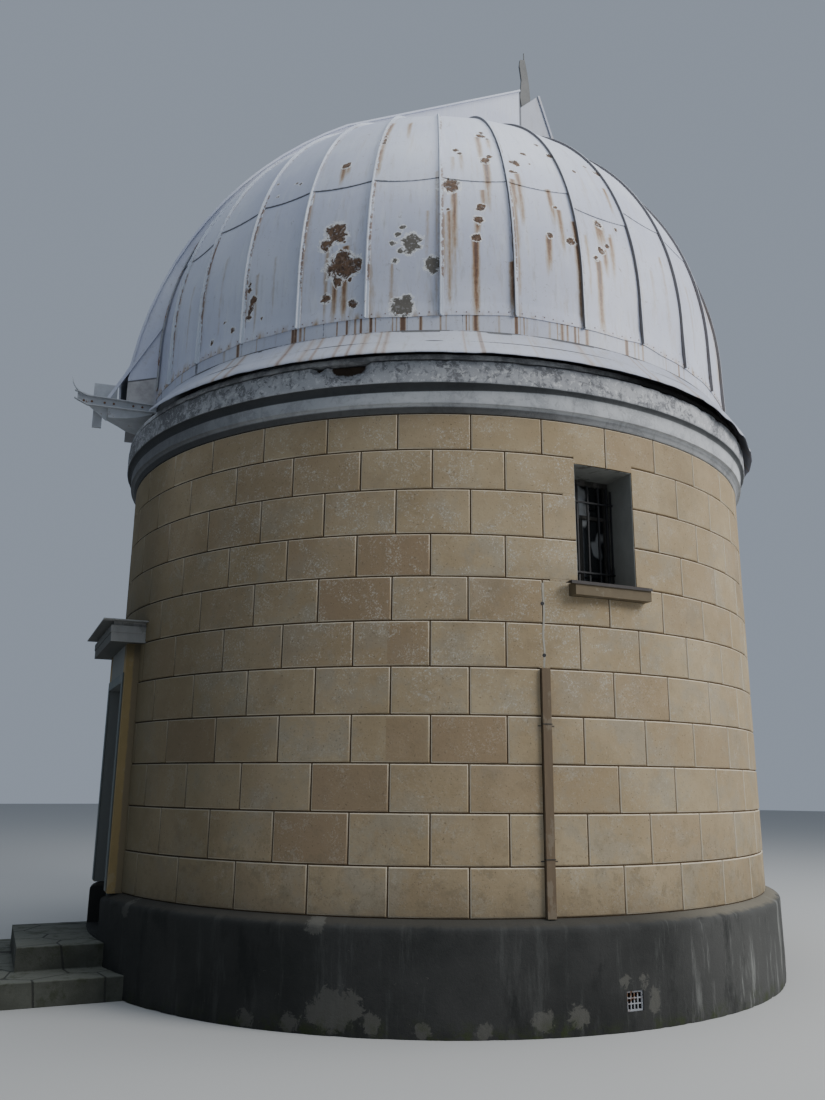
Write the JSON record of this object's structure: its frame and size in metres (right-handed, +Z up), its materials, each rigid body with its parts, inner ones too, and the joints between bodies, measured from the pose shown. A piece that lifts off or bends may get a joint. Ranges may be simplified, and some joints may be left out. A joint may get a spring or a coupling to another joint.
{
  "type": "observatory building",
  "caption": "Round rendered tower on a concrete plinth, with a stepped entrance, barred windows and a turning sheet-metal dome with a hooded slit.",
  "frame": {"origin": "underside centre of the ground floor, on the tower's axis, at ground level", "axes": "+Z up; the camera of the picture looks along +Y; the entrance is 65 degrees and the dome slit 71.3 degrees from -Y towards -X"},
  "size_m": [7.2463, 6.38, 9.88],
  "materials": {
    "wall_render": "weathered tan cement render with incised block joints",
    "entrance_render": "ochre-painted render, worn",
    "concrete": "dark weathered concrete with pale streaks",
    "moulding": "dirty grey cement moulding, chipped",
    "dome_paint": "worn silver paint with rust along the seams",
    "iron": "dull grey paint on steel, rusty",
    "joinery": "old grey-blue paint",
    "sash": "dark painted sash with dusty glass",
    "sill": "ochre-painted cement sill",
    "cable_cover": "brown painted sheet channel"
  },
  "bodies": {
    "building": {"ground_floor": "concrete", "loft_floor": "concrete", "plinth_front": "concrete", "plinth_back": "concrete", "plinth_door": "concrete", "wall_front": "wall_render", "wall_back": "wall_render", "wall_beside_door_left": "wall_render", "wall_beside_door_right": "wall_render", "wall_over_door": "wall_render", "upper_wall_front": "wall_render", "upper_wall_back": "wall_render", "upper_wall_door": "wall_render", "cornice_front": "moulding", "cornice_back": "moulding", "cornice_door": "moulding", "dome_rail": "iron", "door_surround": "entrance_render", "door_canopy": "moulding", "door_steps": "concrete", "door_frame": "joinery", "window_front": "sash", "window_right": "sash", "window_back": "sash", "sill_front": "sill", "sill_right": "sill", "sill_back": "sill", "vent_grille": "iron", "cable_cover": "cable_cover"},
    "door": {"door_leaf": "joinery"},
    "dome": {"dome_ring": "dome_paint", "dome_apron": "dome_paint", "gores_near": "dome_paint", "gores_right": "dome_paint", "gores_rear": "dome_paint", "gores_far": "dome_paint", "gores_left": "dome_paint", "slit_cheek_near": "dome_paint", "slit_cheek_far": "dome_paint", "shutter_lower": "dome_paint", "shutter_middle": "dome_paint", "shutter_upper": "dome_paint", "hood_back": "dome_paint", "guide_arm_near": "iron", "guide_arm_far": "iron", "flap_floor": "dome_paint", "flap_beam": "iron"}
  },
  "joints": [
    {"name": "door_hinge", "type": "hinge", "parent": "building", "child": "door", "pos_m": [-2.8256, -0.9231, 1.2], "axis": [0, 0, -1], "range_deg": [0, 90]},
    {"name": "dome_turn", "type": "hinge", "parent": "building", "child": "dome", "pos_m": [0, 0, 4.7], "axis": [0, 0, 1], "continuous": true}
  ]
}
